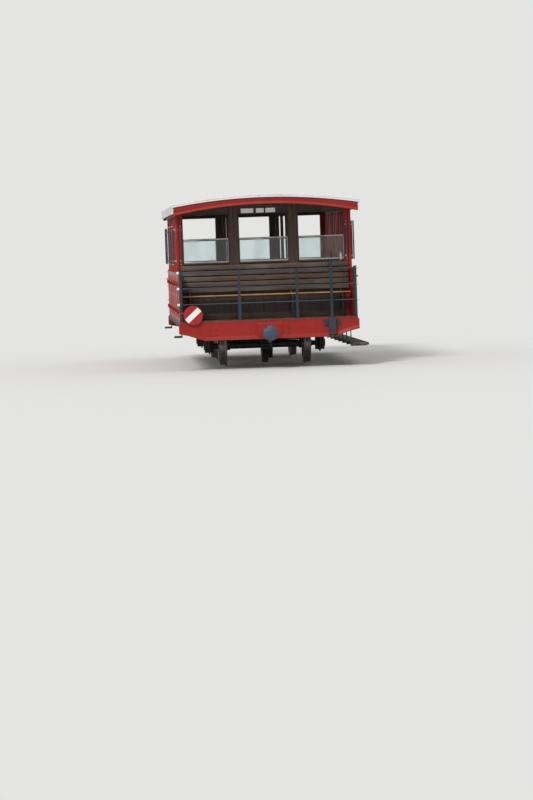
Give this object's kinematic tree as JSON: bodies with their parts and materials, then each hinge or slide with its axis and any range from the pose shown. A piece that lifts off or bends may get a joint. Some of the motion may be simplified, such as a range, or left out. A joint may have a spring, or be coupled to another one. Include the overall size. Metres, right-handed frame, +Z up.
{
  "type": "rack railway coach",
  "caption": "Open-ended rack railway coach with an arched roof, half-height side doors, facing slatted benches and a hand-brake column.",
  "frame": {"origin": "below the middle of the coach, on the level on which the wheel flanges stand", "axes": "+Y along the coach from the uphill end with the brake column to the downhill end, +Z up, +X to the right seen from the uphill end"},
  "size_m": [3.355, 8, 3.006],
  "materials": {
    "painted_red": "satin red paint",
    "roof_grey": "matt grey roof paint",
    "pale_edging": "weathered pale paint",
    "black_steel": "black oiled steel",
    "dark_paint": "dark blue-green paint",
    "rod_steel": "worn steel",
    "buffer_steel": "blue-grey worn steel",
    "wheel_steel": "dusty cast steel",
    "brass": "polished",
    "dark_wood": "varnished dark wood",
    "seat_wood": "varnished yellow wood",
    "floor_wood": "worn boards",
    "ceiling_wood": "light varnished boards",
    "board_wood": "tarred board",
    "signal_red": "gloss red",
    "plate_white": "enamel",
    "clear_glass": "clear"
  },
  "bodies": {
    "coach": {"brake_rigging": "black_steel", "axle_boxes": "black_steel", "axle_guards": "black_steel", "leaf_springs": "black_steel", "solebars": "black_steel", "cross_members": "board_wood", "headstock_uphill": "painted_red", "headstock_downhill": "painted_red", "buffer_uphill": "buffer_steel", "buffer_downhill": "buffer_steel", "coupling_plates": "black_steel", "floor": "floor_wood", "sills": "board_wood", "side_pillars": "painted_red", "side_panels": "painted_red", "side_windows": "clear_glass", "cantrails": "dark_wood", "bulkhead_panels": "dark_wood", "bulkhead_posts": "dark_wood", "bulkhead_headers": "dark_wood", "bulkhead_sashes": "clear_glass", "partition_walls": "dark_wood", "partition_posts": "dark_wood", "bench_seats": "seat_wood", "bench_backs": "dark_wood", "bench_legs": "dark_wood", "notice_plates": "plate_white", "roof": "roof_grey", "roof_ribs": "ceiling_wood", "fascia_uphill": "painted_red", "fascia_downhill": "painted_red", "gutters": "pale_edging", "roof_edging": "pale_edging", "railing_posts": "dark_paint", "railing_rods": "rod_steel", "brake_column": "black_steel", "signal_disc": "signal_red", "running_board": "board_wood", "board_hangers": "black_steel", "end_steps": "black_steel", "grab_rails": "rod_steel", "grab_rail_stems": "brass"},
    "wheelset_uphill": {"wheels_uphill": "wheel_steel", "axle_uphill": "wheel_steel"},
    "wheelset_downhill": {"wheels_downhill": "wheel_steel", "axle_downhill": "wheel_steel"},
    "brake_cog": {"brake_cog": "wheel_steel"},
    "door_left_1": {"door_left_1": "painted_red"},
    "door_left_2": {"door_left_2": "painted_red"},
    "door_left_3": {"door_left_3": "painted_red"},
    "door_left_4": {"door_left_4": "painted_red"},
    "door_left_5": {"door_left_5": "painted_red"},
    "door_left_6": {"door_left_6": "painted_red"},
    "door_right_1": {"door_right_1": "painted_red"},
    "door_right_2": {"door_right_2": "painted_red"},
    "door_right_3": {"door_right_3": "painted_red"},
    "door_right_4": {"door_right_4": "painted_red"},
    "door_right_5": {"door_right_5": "painted_red"},
    "door_right_6": {"door_right_6": "painted_red"}
  },
  "joints": [
    {"name": "wheelset_uphill_spin", "type": "hinge", "parent": "coach", "child": "wheelset_uphill", "pos_m": [0, -1.9, 0.368], "axis": [1, 0, 0], "continuous": true},
    {"name": "wheelset_downhill_spin", "type": "hinge", "parent": "coach", "child": "wheelset_downhill", "pos_m": [0, 1.9, 0.368], "axis": [1, 0, 0], "continuous": true},
    {"name": "brake_cog_spin", "type": "hinge", "parent": "wheelset_uphill", "child": "brake_cog", "pos_m": [0, -1.9, 0.368], "axis": [1, 0, 0], "continuous": true},
    {"name": "door_left_1_hinge", "type": "hinge", "parent": "coach", "child": "door_left_1", "pos_m": [-1.56, -3.1655, 0.848], "axis": [0, 0, 1], "range_deg": [-105, 0]},
    {"name": "door_left_2_hinge", "type": "hinge", "parent": "coach", "child": "door_left_2", "pos_m": [-1.56, -1.717, 0.848], "axis": [0, 0, 1], "range_deg": [-105, 0]},
    {"name": "door_left_3_hinge", "type": "hinge", "parent": "coach", "child": "door_left_3", "pos_m": [-1.56, -0.377, 0.848], "axis": [0, 0, 1], "range_deg": [-105, 0]},
    {"name": "door_left_4_hinge", "type": "hinge", "parent": "coach", "child": "door_left_4", "pos_m": [-1.56, 0.963, 0.848], "axis": [0, 0, 1], "range_deg": [-105, 0]},
    {"name": "door_left_5_hinge", "type": "hinge", "parent": "coach", "child": "door_left_5", "pos_m": [-1.56, 2.303, 0.848], "axis": [0, 0, 1], "range_deg": [-105, 0]},
    {"name": "door_left_6_hinge", "type": "hinge", "parent": "coach", "child": "door_left_6", "pos_m": [-1.56, 3.1655, 0.848], "axis": [0, 0, 1], "range_deg": [0, 105]},
    {"name": "door_right_1_hinge", "type": "hinge", "parent": "coach", "child": "door_right_1", "pos_m": [1.56, -3.1655, 0.848], "axis": [0, 0, 1], "range_deg": [0, 105]},
    {"name": "door_right_2_hinge", "type": "hinge", "parent": "coach", "child": "door_right_2", "pos_m": [1.56, -1.717, 0.848], "axis": [0, 0, 1], "range_deg": [0, 105]},
    {"name": "door_right_3_hinge", "type": "hinge", "parent": "coach", "child": "door_right_3", "pos_m": [1.56, -0.377, 0.848], "axis": [0, 0, 1], "range_deg": [0, 105]},
    {"name": "door_right_4_hinge", "type": "hinge", "parent": "coach", "child": "door_right_4", "pos_m": [1.56, 0.963, 0.848], "axis": [0, 0, 1], "range_deg": [0, 105]},
    {"name": "door_right_5_hinge", "type": "hinge", "parent": "coach", "child": "door_right_5", "pos_m": [1.56, 2.303, 0.848], "axis": [0, 0, 1], "range_deg": [0, 105]},
    {"name": "door_right_6_hinge", "type": "hinge", "parent": "coach", "child": "door_right_6", "pos_m": [1.56, 3.1655, 0.848], "axis": [0, 0, 1], "range_deg": [-105, 0]}
  ]
}
